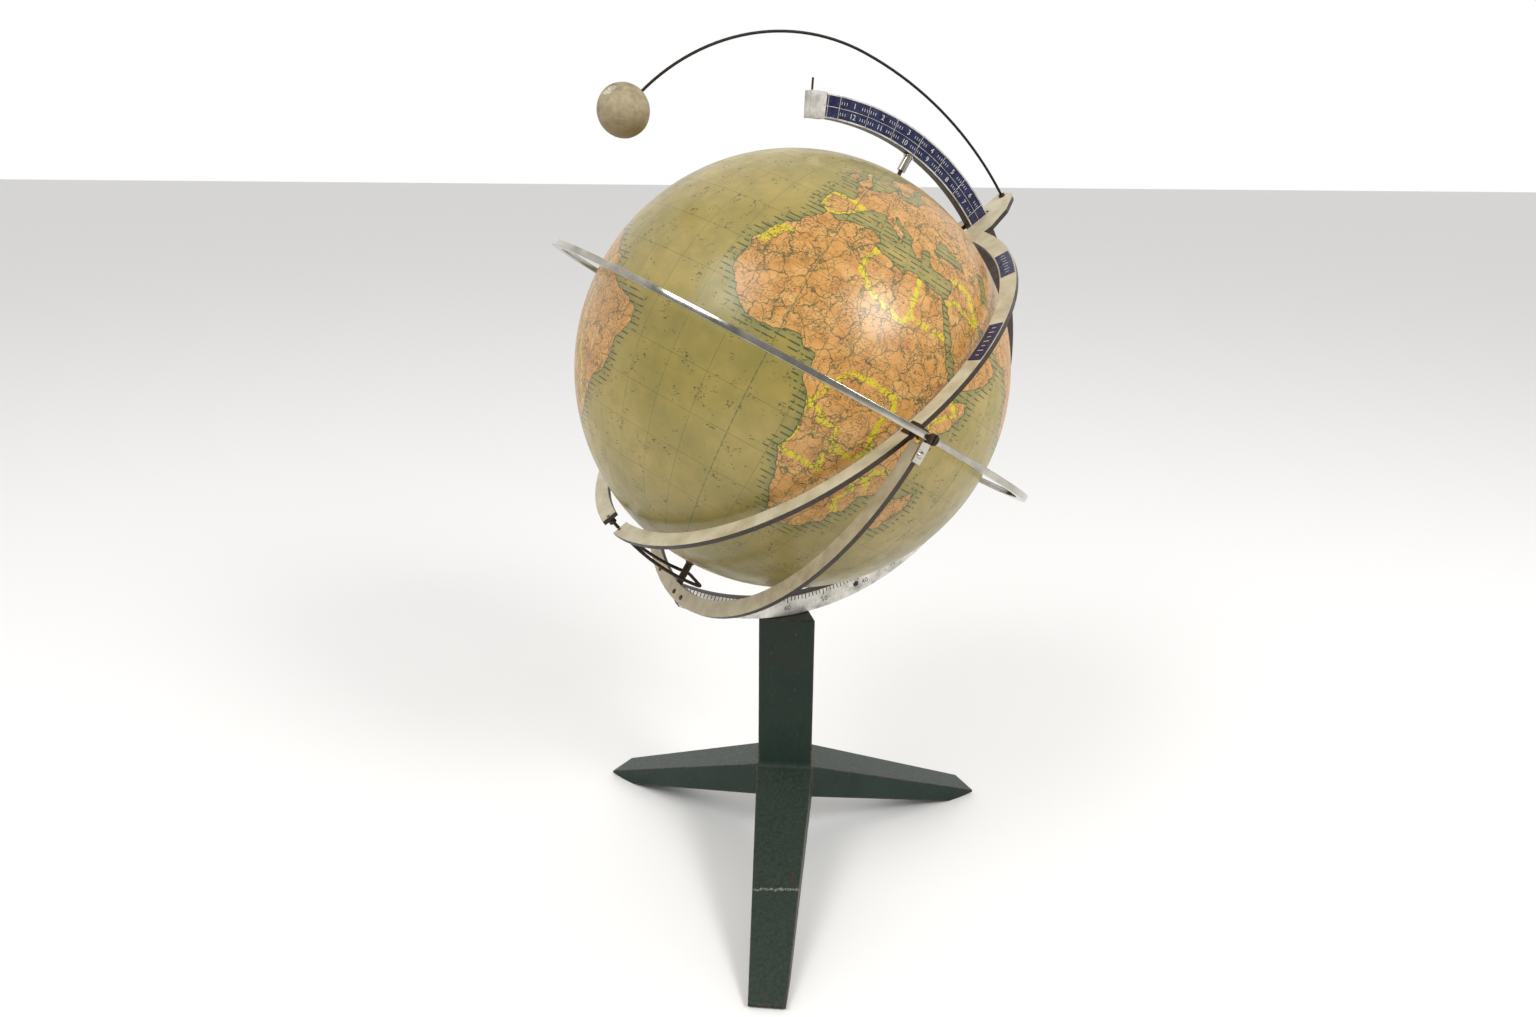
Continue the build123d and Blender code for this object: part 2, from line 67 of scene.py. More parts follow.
globe_radius = 125 * mm
globe_wall = 2.5 * mm
meridian_inner, meridian_face = 141 * mm, 3.6 * mm
equator_inner, equator_outer, equator_half = 147 * mm, 152.5 * mm, 1.7 * mm
ring_face = 1.625 * mm
hairpin_radius, hairpin_wire = 134.7 * mm, 1.0 * mm
hairpin_legs = (-7.1 * mm, 15.9 * mm)
nearest_longitude = 34.3  # degrees east that face along the hinge toward the viewer


def placed(x, y, z):
    """Frame at the globe's centre with the three given axes."""
    turn = Matrix((x, y, z)).transposed().to_4x4()
    return Matrix.Translation(centre) @ turn


meridian_frame = placed(across, north, hinge)
equator_frame = placed(hinge, across, north)
ring_frame = placed(hinge, ring_top, sunward)


# ---------------------------------------------------------------- material kit
def linear(code):
    """sRGB hex colour as linear RGBA."""
    parts = [int(code[i:i + 2], 16) / 255 for i in (1, 3, 5)]
    return tuple(c / 12.92 if c <= 0.04045 else ((c + 0.055) / 1.055) ** 2.4 for c in parts) + (1.0,)


def per_mm(size):
    """Texture scale, in turns per metre, of a pattern whose features are this many millimetres."""
    return 1000.0 / size


def add(tree, kind, settings=None, **inputs):
    """Add a node with its settings and its inputs, which are values or the sockets that feed them."""
    made = tree.nodes.new("ShaderNode" + kind)
    for name, value in (settings or {}).items():
        setattr(made, name, value)
    for name, value in inputs.items():
        socket = made.inputs[int(name[1:])] if name[0] == "_" else made.inputs[name.replace("__", " ")]
        if isinstance(value, bpy.types.NodeSocket):
            tree.links.new(value, socket)
        else:
            socket.default_value = value
    return made.outputs


def ramp(tree, value, *stops):
    """Colour ramp through (position, hex colour) stops."""
    made = tree.nodes.new("ShaderNodeValToRGB")
    made.color_ramp.elements.remove(made.color_ramp.elements[1])
    for index, (position, code) in enumerate(stops):
        element = made.color_ramp.elements[0] if index == 0 else made.color_ramp.elements.new(position)
        element.position = position
        element.color = linear(code)
    tree.links.new(value, made.inputs[0])
    return made.outputs[0]


def between(tree, value, low, high, out_low=0.0, out_high=1.0):
    """Map a value smoothly from one range to another, held at the ends."""
    steps = {"_1": low, "_2": high, "_3": out_low, "_4": out_high}
    return add(tree, "MapRange", {"interpolation_type": "SMOOTHSTEP"}, Value=value, **steps)[0]


def math(tree, operation, first, second=0.0):
    """One arithmetic step."""
    return add(tree, "Math", {"operation": operation}, _0=first, _1=second)[0]


def mix(tree, factor, first, second, blend="MIX"):
    """Mix two colours, given as sockets or hex codes."""
    first = linear(first) if isinstance(first, str) else first
    second = linear(second) if isinstance(second, str) else second
    return add(tree, "MixRGB", {"blend_type": blend}, _0=factor, _1=first, _2=second)[0]


def grain(tree, place, size, detail=3.0, rough=0.55, stretch=None):
    """Noise whose features are size millimetres, stretched by a vector if one is given."""
    if stretch is not None:
        place = add(tree, "VectorMath", {"operation": "MULTIPLY"}, _0=place, _1=stretch)[0]
    return add(tree, "TexNoise", None, Vector=place, Scale=per_mm(size), Detail=detail, Roughness=rough)[0]


def edge_mask(tree, radius):
    """About 1 along sharp edges and 0 on flats, from how far a rounded normal leaves the true one."""
    rounded = add(tree, "Bevel", {"samples": 4}, Radius=radius * mm)[0]
    flat = add(tree, "NewGeometry")[1]
    match = add(tree, "VectorMath", {"operation": "DOT_PRODUCT"}, _0=rounded, _1=flat)[1]
    return between(tree, match, 0.995, 0.86)


def new_material(name):
    """Empty material: its tree, its shader and the object coordinates."""
    made = bpy.data.materials.new(name)
    made.use_nodes = True
    tree = made.node_tree
    shader = tree.nodes["Principled BSDF"]
    place = add(tree, "TexCoord")[3]
    return made, tree, shader, place


def wire_up(tree, shader, colour=None, roughness=None, bump=None, bump_mm=0.1, edge=0.0):
    """Feed the shader its colour, its roughness and a normal from bump and rounded edges."""
    if colour is not None:
        tree.links.new(colour, shader.inputs["Base Color"])
    if roughness is not None:
        tree.links.new(roughness, shader.inputs["Roughness"])
    normal = None
    if edge:
        normal = add(tree, "Bevel", {"samples": 6}, Radius=edge * mm)[0]
    if bump is not None:
        raised = add(tree, "Bump", None, Strength=1.0, Distance=bump_mm * mm, Height=bump)
        if normal is not None:
            tree.links.new(normal, raised[0].node.inputs["Normal"])
        normal = raised[0]
    if normal is not None:
        tree.links.new(normal, shader.inputs["Normal"])


# ---------------------------------------------------------------- materials
def nickel_plate(name="nickel plate", dark=0.0):
    """Nickel plate, polished bright: sharp reflections, a little yellow, dulled by handling."""
    made, tree, shader, place = new_material(name)
    cloud = grain(tree, place, 14, 5)
    fine = grain(tree, place, 0.8, 4)
    colour = ramp(tree, cloud, (0.3, "#8F8A7E"), (0.6, "#B9B5AA"))
    spots = between(tree, grain(tree, place, 1.6, 4, 0.7), 0.66, 0.74)
    colour = mix(tree, math(tree, "MULTIPLY", spots, 0.55 + dark), colour, "#5B4A36")
    shader.inputs["Metallic"].default_value = 1.0
    blend = math(tree, "ADD", math(tree, "MULTIPLY", cloud, 0.7), math(tree, "MULTIPLY", fine, 0.3))
    rough = between(tree, blend, 0.3, 0.7, 0.1, 0.24)
    wire_up(tree, shader, colour, rough, fine, 0.006, 0.3)
    return made


def silvered_brass():
    """Silvered brass sheet, satin, with grey tarnish and scratches: broad soft shine."""
    made, tree, shader, place = new_material("silvered brass")
    cloud = grain(tree, place, 9, 6, 0.65)
    scratch = grain(tree, place, 1.0, 4, 0.7, (6.0, 1.0, 0.6))
    colour = ramp(tree, cloud, (0.28, "#8E8A82"), (0.5, "#C9C6BE"), (0.7, "#E2E0DA"))
    worn = between(tree, grain(tree, place, 2.2, 5, 0.7), 0.58, 0.72)
    colour = mix(tree, math(tree, "MULTIPLY", worn, 0.75), colour, "#6E675C")
    shader.inputs["Metallic"].default_value = 0.55
    wire_up(tree, shader, colour, between(tree, scratch, 0.3, 0.7, 0.3, 0.5), scratch, 0.03, 0.2)
    return made


def dark_moulding():
    """Phenolic moulding, satin brown-black: weak sheen, paler dust in the scratches and on the edges."""
    made, tree, shader, place = new_material("phenolic moulding")
    cloud = grain(tree, place, 12, 5)
    fine = grain(tree, place, 0.7, 4, 0.7)
    colour = ramp(tree, cloud, (0.3, "#2B2019"), (0.7, "#453A2F"))
    colour = mix(tree, math(tree, "MULTIPLY", edge_mask(tree, 0.6), 0.5), colour, "#8A8378")
    wire_up(tree, shader, colour, between(tree, fine, 0.3, 0.7, 0.34, 0.55), fine, 0.03, 0.4)
    return made


def lacquered_board(name, plane_normal, face_light, face_dark):
    """Lacquered fibre board: cream faces with foxing and rubbed dirt, raw dark brown on the cut edges."""
    made, tree, shader, place = new_material(name)
    normal = add(tree, "TexCoord")[1]
    facing = add(tree, "VectorMath", {"operation": "DOT_PRODUCT"}, _0=normal, _1=plane_normal)[1]
    face = between(tree, math(tree, "ABSOLUTE", facing), 0.6, 0.8)
    cloud = grain(tree, place, 10, 6, 0.6)
    cream = ramp(tree, cloud, (0.3, face_dark), (0.62, face_light))
    specks = between(tree, grain(tree, place, 1.3, 3, 0.6), 0.68, 0.74)
    cream = mix(tree, math(tree, "MULTIPLY", specks, 0.6), cream, "#7A5B38")
    stain = between(tree, grain(tree, place, 22, 4, 0.6), 0.58, 0.72)
    cream = mix(tree, math(tree, "MULTIPLY", stain, 0.3), cream, "#9B8258")
    patches = between(tree, grain(tree, place, 1.8, 4, 0.7), 0.38, 0.58)
    chips = math(tree, "MULTIPLY", edge_mask(tree, 0.5), patches)
    cream = mix(tree, math(tree, "MULTIPLY", chips, 0.8), cream, "#5A4328")
    raw = ramp(tree, grain(tree, place, 3, 5, 0.7), (0.3, "#1A120B"), (0.7, "#382A1B"))
    colour = mix(tree, face, raw, cream)
    fine = grain(tree, place, 0.6, 3)
    wire_up(tree, shader, colour, between(tree, cloud, 0.3, 0.7, 0.32, 0.5), fine, 0.03, 0.35)
    return made


def stand_enamel():
    """Brushed enamel on an iron casting: dark blue-green, dusty with a painted grey sheen on upward faces,
    darker and browner higher up as painted shade, worn brown along edges, scuffed to rust.
    """
    made, tree, shader, place = new_material("enamel on cast iron")
    cloud = grain(tree, place, 30, 6, 0.6)
    brush = grain(tree, place, 5, 6, 0.65, (3.0, 3.0, 0.35))
    colour = ramp(tree, cloud, (0.3, "#0B1D17"), (0.7, "#142E25"))
    colour = mix(tree, between(tree, brush, 0.45, 0.75, 0.0, 0.5), colour, "#1F3A2E")
    # Upward faces hold grey-brown dust and a painted grey sheen.
    normal = add(tree, "TexCoord")[1]
    up = add(tree, "SeparateXYZ", None, Vector=normal)[2]
    dust_and_sheen = math(tree, "MULTIPLY", between(tree, up, 0.3, 0.95), between(tree, brush, 0.25, 0.7, 0.12, 0.4))
    colour = mix(tree, dust_and_sheen, colour, "#454B42")
    # Higher up the enamel goes darker and browner: painted shade.
    height = add(tree, "SeparateXYZ", None, Vector=place)[2]
    painted_shade_by_height = between(tree, height, 0.05, 0.16, 0.15, 0.6)
    brown = math(tree, "MULTIPLY", painted_shade_by_height, between(tree, cloud, 0.4, 0.65))
    colour = mix(tree, brown, colour, "#231E14")
    patches = between(tree, grain(tree, place, 2.5, 5, 0.7), 0.4, 0.6)
    wear = math(tree, "MULTIPLY", edge_mask(tree, 1.6), patches)
    colour = mix(tree, math(tree, "MULTIPLY", wear, 0.9), colour, "#6A4E2E")
    scuff_noise = grain(tree, place, 3.2, 6, 0.75, (1.6, 1.6, 0.8))
    regions = between(tree, grain(tree, place, 35, 3), 0.4, 0.6)
    scuff = math(tree, "MULTIPLY", between(tree, scuff_noise, 0.63, 0.72), regions)
    colour = mix(tree, math(tree, "MULTIPLY", scuff, 0.8), colour, "#8A7E5E")
    rust = math(tree, "MULTIPLY", between(tree, grain(tree, place, 7, 6, 0.7), 0.6, 0.74), 0.7)
    colour = mix(tree, rust, colour, "#4A2C17")
    # A pale scratch straight across the front leg, broken where the paint held.
    along = add(tree, "SeparateXYZ", None, Vector=place)[1]
    waver = math(tree, "MULTIPLY", math(tree, "SUBTRACT", scuff_noise, 0.5), 0.006)
    from_scratch = math(tree, "ABSOLUTE", math(tree, "ADD", along, waver))
    from_scratch = math(tree, "ABSOLUTE", math(tree, "SUBTRACT", from_scratch, 0.088))
    front = between(tree, along, -0.06, -0.08)
    scratch = math(tree, "MULTIPLY", between(tree, from_scratch, 0.0007, 0.0002), front)
    scratch = math(tree, "MULTIPLY", scratch, between(tree, brush, 0.4, 0.5))
    colour = mix(tree, math(tree, "MULTIPLY", scratch, 0.7), colour, "#8F9184")
    lumps = math(tree, "ADD", grain(tree, place, 6, 4), math(tree, "MULTIPLY", scuff, -0.3))
    shader.inputs["Specular IOR Level"].default_value = 0.3
    wire_up(tree, shader, colour, between(tree, brush, 0.3, 0.7, 0.36, 0.56), lumps, 0.2, 1.4)
    return made


def browned_steel(name="browned steel", light="#4A3A2C", dark="#241811"):
    """Mild steel, oxidised brown: dark with a dull metal sheen."""
    made, tree, shader, place = new_material(name)
    cloud = grain(tree, place, 3, 6, 0.7)
    colour = ramp(tree, cloud, (0.3, dark), (0.7, light))
    shader.inputs["Metallic"].default_value = 0.6
    wire_up(tree, shader, colour, between(tree, cloud, 0.3, 0.7, 0.35, 0.6), cloud, 0.05, 0.2)
    return made


def turned_brass():
    """Turned brass, dulled: warm metal with fine tool rings."""
    made, tree, shader, place = new_material("turned brass")
    cloud = grain(tree, place, 4, 5)
    colour = ramp(tree, cloud, (0.3, "#8C6A30"), (0.7, "#C7A25A"))
    shader.inputs["Metallic"].default_value = 1.0
    rough = between(tree, cloud, 0.3, 0.7, 0.25, 0.42)
    wire_up(tree, shader, colour, rough, grain(tree, place, 0.5), 0.02, 0.2)
    return made


def turned_beech():
    """Beech dowel, unfinished: pale with long grain."""
    made, tree, shader, place = new_material("beech")
    fibre = grain(tree, place, 2.0, 5, 0.6, (1.0, 1.0, 0.15))
    colour = ramp(tree, fibre, (0.3, "#9C7747"), (0.7, "#C9A26C"))
    wire_up(tree, shader, colour, between(tree, fibre, 0.3, 0.7, 0.5, 0.7), fibre, 0.05)
    return made


def chipped_plaster():
    """Cast plaster, painted cream and handled: matt, mottled, darker and browner beneath as painted shade,
    paler where it is chipped.
    """
    made, tree, shader, place = new_material("painted plaster")
    cloud = grain(tree, place, 7, 6, 0.65)
    colour = ramp(tree, cloud, (0.3, "#74664A"), (0.5, "#988A6A"), (0.7, "#B3A687"))
    # Downward faces go darker and browner: painted shade.
    normal = add(tree, "TexCoord")[1]
    up = add(tree, "SeparateXYZ", None, Vector=normal)[2]
    colour = mix(tree, between(tree, up, 0.1, -0.9, 0.0, 0.75), colour, "#7A6544")
    pores = between(tree, grain(tree, place, 1.0, 4, 0.7), 0.62, 0.7)
    colour = mix(tree, math(tree, "MULTIPLY", pores, 0.6), colour, "#6B5636")
    chip = add(tree, "Attribute", {"attribute_name": "chip"})[2]
    colour = mix(tree, between(tree, chip, 0.2, 0.8), colour, "#D0C8B6")
    rough = between(tree, cloud, 0.3, 0.7, 0.5, 0.75)
    wire_up(tree, shader, colour, rough, grain(tree, place, 0.9, 5, 0.7), 0.15)
    return made


def blue_enamel():
    """Printed blue enamel on tinplate: deep navy with a hard gloss and rubbed grey scuffs."""
    made, tree, shader, place = new_material("blue enamel on tinplate")
    cloud = grain(tree, place, 5, 5)
    colour = ramp(tree, cloud, (0.3, "#0F1234"), (0.7, "#1C2250"))
    scuff = between(tree, grain(tree, place, 1.1, 5, 0.75), 0.6, 0.68)
    colour = mix(tree, math(tree, "MULTIPLY", scuff, 0.5), colour, "#8D8FA0")
    wire_up(tree, shader, colour, between(tree, cloud, 0.3, 0.7, 0.2, 0.38), scuff, 0.01, 0.2)
    return made


def flat_ink(name, code, lift):
    """Screen-printed ink: even colour with worn patches."""
    made, tree, shader, place = new_material(name)
    worn = grain(tree, place, 0.8, 4, 0.7)
    colour = ramp(tree, worn, (0.35, code), (0.75, lift))
    wire_up(tree, shader, colour, between(tree, worn, 0.3, 0.7, 0.4, 0.6), worn, 0.01)
    return made


def printed_map():
    """Printed paper under yellowed varnish: olive seas, orange land, yellow borders, and a deep gloss."""
    made, tree, shader, place = new_material("varnished printed paper")
    chart = add(tree, "UVMap", {"uv_map": "chart"})[0]
    split = add(tree, "SeparateXYZ", None, Vector=chart)
    longitude = math(tree, "MULTIPLY", split[0], 360.0)
    latitude = math(tree, "MULTIPLY", split[1], 180.0)
    shore = add(tree, "Attribute", {"attribute_name": "shore_mm"})[2]
    border = add(tree, "Attribute", {"attribute_name": "border_mm"})[2]
    tint = add(tree, "Attribute", {"attribute_name": "tint_mm"})[2]
    wander = math(tree, "MULTIPLY", math(tree, "SUBTRACT", grain(tree, place, 5, 6, 0.62), 0.5), 5.0)
    shore = math(tree, "ADD", shore, wander)
    border = math(tree, "ADD", border, math(tree, "MULTIPLY", wander, 0.7))
    tint = math(tree, "ADD", tint, math(tree, "MULTIPLY", wander, 0.4))
    land = between(tree, shore, -0.12, 0.12)

    # Ground colours, mottled by age.
    age = grain(tree, place, 55, 5, 0.6)
    patch = grain(tree, place, 9, 6, 0.62)
    sea = ramp(tree, age, (0.3, "#837A3C"), (0.5, "#9B8C48"), (0.72, "#AE9B5C"))
    sea = mix(tree, between(tree, patch, 0.35, 0.75, 0.0, 0.4), sea, "#74743E")
    ground = ramp(tree, patch, (0.3, "#B47C3E"), (0.5, "#C6924E"), (0.7, "#D2A464"))
    shelf = between(tree, shore, -5.0, 0.0)
    sea = mix(tree, math(tree, "MULTIPLY", shelf, 0.5), sea, "#66764A")
    colour = mix(tree, land, sea, ground)

    # Yellow territories and border bands, on land only.
    yellow = between(tree, math(tree, "ABSOLUTE", border), 1.7, 0.9)
    yellow = math(tree, "MAXIMUM", yellow, math(tree, "MULTIPLY", between(tree, tint, -0.2, 0.2), 0.8))
    colour = mix(tree, math(tree, "MULTIPLY", math(tree, "MULTIPLY", yellow, land), 0.95), colour, "#CDBE14")

    # Fine printing: provinces and rivers, place marks, shore line and hatching.
    ripples = add(tree, "TexNoise", None, Vector=place, Scale=per_mm(6), Detail=4.0)[1]
    bend = add(tree, "VectorMath", {"operation": "SCALE"}, _0=ripples, Scale=0.010)[0]
    bent = add(tree, "VectorMath", {"operation": "ADD"}, _0=place, _1=bend)[0]
    lines = None
    for size, width in ((13, 0.03), (6, 0.05)):
        cell = add(tree, "TexVoronoi", {"feature": "DISTANCE_TO_EDGE"}, Vector=bent, Scale=per_mm(size))[0]
        stroke = between(tree, cell, width, width * 0.35)
        lines = stroke if lines is None else math(tree, "MAXIMUM", lines, math(tree, "MULTIPLY", stroke, 0.6))
    lines = math(tree, "MULTIPLY", lines, land)
    colour = mix(tree, math(tree, "MULTIPLY", lines, 0.85), colour, "#46502A")
    marks = between(tree, grain(tree, place, 1.1, 1, 0.5, (1.0, 1.0, 1.8)), 0.55, 0.61)
    crowd = between(tree, grain(tree, place, 10, 3), 0.42, 0.56)
    on_land = between(tree, land, 0.0, 1.0, 0.06, 0.9)
    marks = math(tree, "MULTIPLY", math(tree, "MULTIPLY", marks, crowd), on_land)
    colour = mix(tree, math(tree, "MULTIPLY", marks, 0.75), colour, "#4A3A22")
    coast = between(tree, math(tree, "ABSOLUTE", shore), 0.34, 0.14)
    colour = mix(tree, math(tree, "MULTIPLY", coast, 0.9), colour, "#39451F")
    rows = between(tree, math(tree, "PINGPONG", latitude, 0.7), 0.24, 0.12)
    dashes = between(tree, grain(tree, place, 3, 2, 0.5), 0.42, 0.5)
    inshore = math(tree, "MULTIPLY", between(tree, shore, -7.5, -5.5), math(tree, "SUBTRACT", 1.0, land))
    hatch = math(tree, "MULTIPLY", math(tree, "MULTIPLY", rows, dashes), inshore)
    colour = mix(tree, math(tree, "MULTIPLY", hatch, 0.9), colour, "#2F3A1E")

    # Short strokes scattered over the open sea.
    specks = between(tree, grain(tree, place, 1.5, 2, 0.6, (1.0, 0.5, 1.6)), 0.56, 0.62)
    gather = between(tree, grain(tree, place, 7, 2), 0.55, 0.62)
    specks = math(tree, "MULTIPLY", math(tree, "MULTIPLY", specks, gather), math(tree, "SUBTRACT", 1.0, land))
    colour = mix(tree, math(tree, "MULTIPLY", specks, 0.8), colour, "#3A3A20")

    # Graticule every ten degrees, with bolder equator and prime meridian.
    squeeze = math(tree, "COSINE", math(tree, "MULTIPLY", latitude, pi / 180))
    to_meridian = math(tree, "MULTIPLY", math(tree, "PINGPONG", longitude, 5.0), squeeze)
    to_parallel = math(tree, "PINGPONG", latitude, 5.0)
    net = between(tree, math(tree, "MINIMUM", to_meridian, to_parallel), 0.10, 0.05)
    colour = mix(tree, math(tree, "MULTIPLY", net, 0.6), colour, "#4C5A3C")
    prime = math(tree, "MULTIPLY", math(tree, "PINGPONG", longitude, 30.0), squeeze)
    stitch = between(tree, math(tree, "PINGPONG", latitude, 1.0), 0.25, 0.4)
    bold = math(tree, "MULTIPLY", between(tree, prime, 0.24, 0.14), stitch)
    colour = mix(tree, math(tree, "MULTIPLY", bold, 0.5), colour, "#4E5E40")

    # Foxing, handling dirt and rubbed varnish.
    fox = between(tree, grain(tree, place, 14, 6, 0.72), 0.62, 0.74)
    colour = mix(tree, math(tree, "MULTIPLY", fox, 0.4), colour, "#7E6A38")
    dirt = between(tree, grain(tree, place, 38, 6, 0.7), 0.6, 0.78)
    colour = mix(tree, math(tree, "MULTIPLY", dirt, 0.35), colour, "#4E5038")
    # Darker and browner toward the underside: painted shade.
    low = add(tree, "SeparateXYZ", None, Vector=add(tree, "TexCoord")[1])[2]
    colour = mix(tree, between(tree, low, 0.1, -0.95, 0.0, 0.5), colour, "#4A4424")
    shader.inputs["Coat Weight"].default_value = 0.35
    shader.inputs["Coat Roughness"].default_value = 0.2
    shader.inputs["Coat Tint"].default_value = linear("#FFF3D6")
    ripple = math(tree, "ADD", grain(tree, place, 26, 3), math(tree, "MULTIPLY", lines, -0.05))
    wire_up(tree, shader, colour, between(tree, patch, 0.3, 0.7, 0.34, 0.46), ripple, 0.35)
    return made


nickel = nickel_plate()
tarnished_nickel = nickel_plate("tarnished nickel plate", 0.45)
silver = silvered_brass()
moulding = dark_moulding()
ring_board = lacquered_board("lacquered board of the season ring", sunward, "#CCC2A6", "#B0A483")
# The yoke's board is the season ring's board given a darker cream: painted shade.
yoke_board_in_painted_shade = lacquered_board("lacquered board of the yoke", across, "#B9AD90", "#998C6F")
enamel = stand_enamel()
browned = browned_steel()
dark_wire = browned_steel("dark spring wire", "#2A2018", "#1C1510")
brass = turned_brass()
beech = turned_beech()
plaster = chipped_plaster()
navy = blue_enamel()
black_ink = flat_ink("black ink", "#1E1C1A", "#4A4640")
white_ink = flat_ink("white ink", "#D8D6CC", "#A8A8A4")
map_paper = printed_map()

node_materials = {
    "stand_casting": enamel,
    "clamp_bolt": browned,
    "clamp_washer": browned,
    "clamp_thumb_nut": brass,
    "meridian_ring": moulding,
    "latitude_scale": silver,
    "month_scale": navy,
    "meridian_end_block": silver,
    "end_stop_pin": browned,
    "equator_screw": nickel,
    "south_yoke": yoke_board_in_painted_shade,
    "yoke_foot_plate": browned,
    "yoke_screws": browned,
    "yoke_bracket_near": tarnished_nickel,
    "yoke_bracket_far": tarnished_nickel,
    "yoke_rivets": tarnished_nickel,
    "pivot_screw_near": browned,
    "pivot_screw_far": browned,
    "pivot_nut_near": browned,
    "pivot_nut_far": browned,
    "north_sleeve": tarnished_nickel,
    "north_pin": browned,
    "south_pin": browned,
    "globe_joint_band": beech,
    "globe_axle": beech,
    "north_bush": brass,
    "south_bush": browned,
    "daylight_ring": ring_board,
    "ring_labels": navy,
    "ring_pivot_block_near": browned,
    "ring_pivot_block_far": browned,
    "hairpin_collars": browned,
    "sun_wire": dark_wire,
    "wire_ferrule": browned,
}
for node_name, material in node_materials.items():
    cad_mesh = frame["nodes"][node_name].data
    cad_mesh.materials.clear()
    cad_mesh.materials.append(material)


# ---------------------------------------------------------------- mesh kit
def make_piece(bm, name, body, material, stands_for=(), smooth_limit=40, tidy=True):
    """Turn a bmesh, already in place, into a piece that rides on a body."""
    if tidy:
        bmesh.ops.remove_doubles(bm, verts=bm.verts, dist=0.001 * mm)
        bmesh.ops.recalc_face_normals(bm, faces=bm.faces)
    mesh = bpy.data.meshes.new(name)
    bm.to_mesh(mesh)
    bm.free()
    piece = bpy.data.objects.new(name, mesh)
    bpy.context.scene.collection.objects.link(piece)
    mesh.materials.append(material)
    mesh.shade_smooth()
    mesh.set_sharp_from_angle(angle=radians(smooth_limit))
    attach(piece, body)
    if stands_for:
        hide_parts(*stands_for)
    return piece


def sweep_ring(bm, profile, first, last, steps):
    """Turn a closed profile of (radius, height) points about +Z, from one angle to another in degrees."""
    start = Matrix.Rotation(radians(first), 4, "Z")
    corners = [bm.verts.new(start @ Vector((radius, 0, height))) for radius, height in profile]
    loop = [bm.edges.new((corner, corners[i - 1])) for i, corner in enumerate(corners)]
    whole = abs(last - first - 360) < 0.01
    bmesh.ops.spin(
        bm,
        geom=corners + loop,
        cent=(0, 0, 0),
        axis=(0, 0, 1),
        angle=radians(last - first),
        steps=steps,
        use_merge=whole,
    )
    if not whole:
        ends = [edge for edge in bm.edges if edge.is_boundary]
        bmesh.ops.holes_fill(bm, edges=ends, sides=0)


def box_profile(inner, outer, low, high, bevel, round_steps=2):
    """Rectangle of (radius, height) points with rounded corners."""
    points = []
    corners = ((outer, high, 0), (inner, high, 90), (inner, low, 180), (outer, low, 270))
    for x, y, turn in corners:
        inset_x = x - bevel if x == outer else x + bevel
        inset_y = y - bevel if y == high else y + bevel
        for step in range(round_steps + 1):
            angle = radians(turn + 90 * step / round_steps)
            points.append((inset_x + bevel * cos(angle), inset_y + bevel * sin(angle)))
    return points


def on_face(plane, radius, angle, height, spin=0.0):
    """Place on a ring's face: out at a radius and angle in degrees, with its own +Y pointing outward."""
    turn = Matrix.Rotation(radians(angle - 90 + spin), 4, "Z")
    spot = Vector((radius * cos(radians(angle)), radius * sin(radians(angle)), height))
    return plane @ Matrix.Translation(spot) @ turn


def add_bar(bm, place, width, length, depth):
    """Flat printed stroke, width along its X and length along its Y."""
    size = Matrix.Diagonal((width, length, depth, 1))
    bmesh.ops.create_cube(bm, size=1.0, matrix=place @ size)


def add_text(bm, words, size, place):
    """Printed figures, made a mesh before they are placed."""
    curve = bpy.data.curves.new("figure", "FONT")
    curve.body = words
    curve.size = size
    curve.align_x = "CENTER"
    curve.align_y = "CENTER"
    curve.extrude = 0.03 * mm
    curve.resolution_u = 3
    holder = bpy.data.objects.new("figure", curve)
    bpy.context.scene.collection.objects.link(holder)
    bpy.context.view_layer.update()
    mesh = bpy.data.meshes.new_from_object(holder.evaluated_get(bpy.context.evaluated_depsgraph_get()))
    mesh.transform(place)
    bm.from_mesh(mesh)
    bpy.data.meshes.remove(mesh)
    bpy.data.objects.remove(holder)
    bpy.data.curves.remove(curve)


# ---------------------------------------------------------------- map outlines, as (longitude, latitude)
africa = [
    (-6, 35.9), (-2, 35.1), (3, 36.8), (10, 37.3), (11, 35), (10, 33.9), (15, 32.3), (20, 30.6),
    (20, 32.7), (23, 32.6), (29, 31), (32.5, 31.2), (34, 28), (35.6, 24), (37.3, 20.8), (38.5, 18),
    (41, 15), (43.2, 12.5), (44.5, 10.5), (51.2, 11.9), (50.8, 9.5), (48, 4.5), (44, 1),
    (40.5, -2.5), (39, -6), (40.5, -10.5), (40.6, -15), (36, -19), (35, -24), (32.8, -26),
    (32.5, -28.5), (28, -33), (25.6, -34), (20, -34.8), (18.4, -34), (17.5, -30.5), (15, -26.5),
    (14, -22), (11.8, -17.5), (13.5, -12), (13, -8), (11.8, -4.5), (9, -1), (9.6, 3.9), (8.5, 4.6),
    (6, 4.3), (4.3, 6.3), (1, 6), (-2, 4.8), (-7.5, 4.4), (-11.5, 7), (-13.3, 9), (-15, 11),
    (-16.8, 13), (-17.4, 14.7), (-16.3, 19), (-17, 21), (-15, 24.5), (-13, 27.8), (-9.8, 29.8),
    (-9.6, 31.5), (-6.9, 34),
]
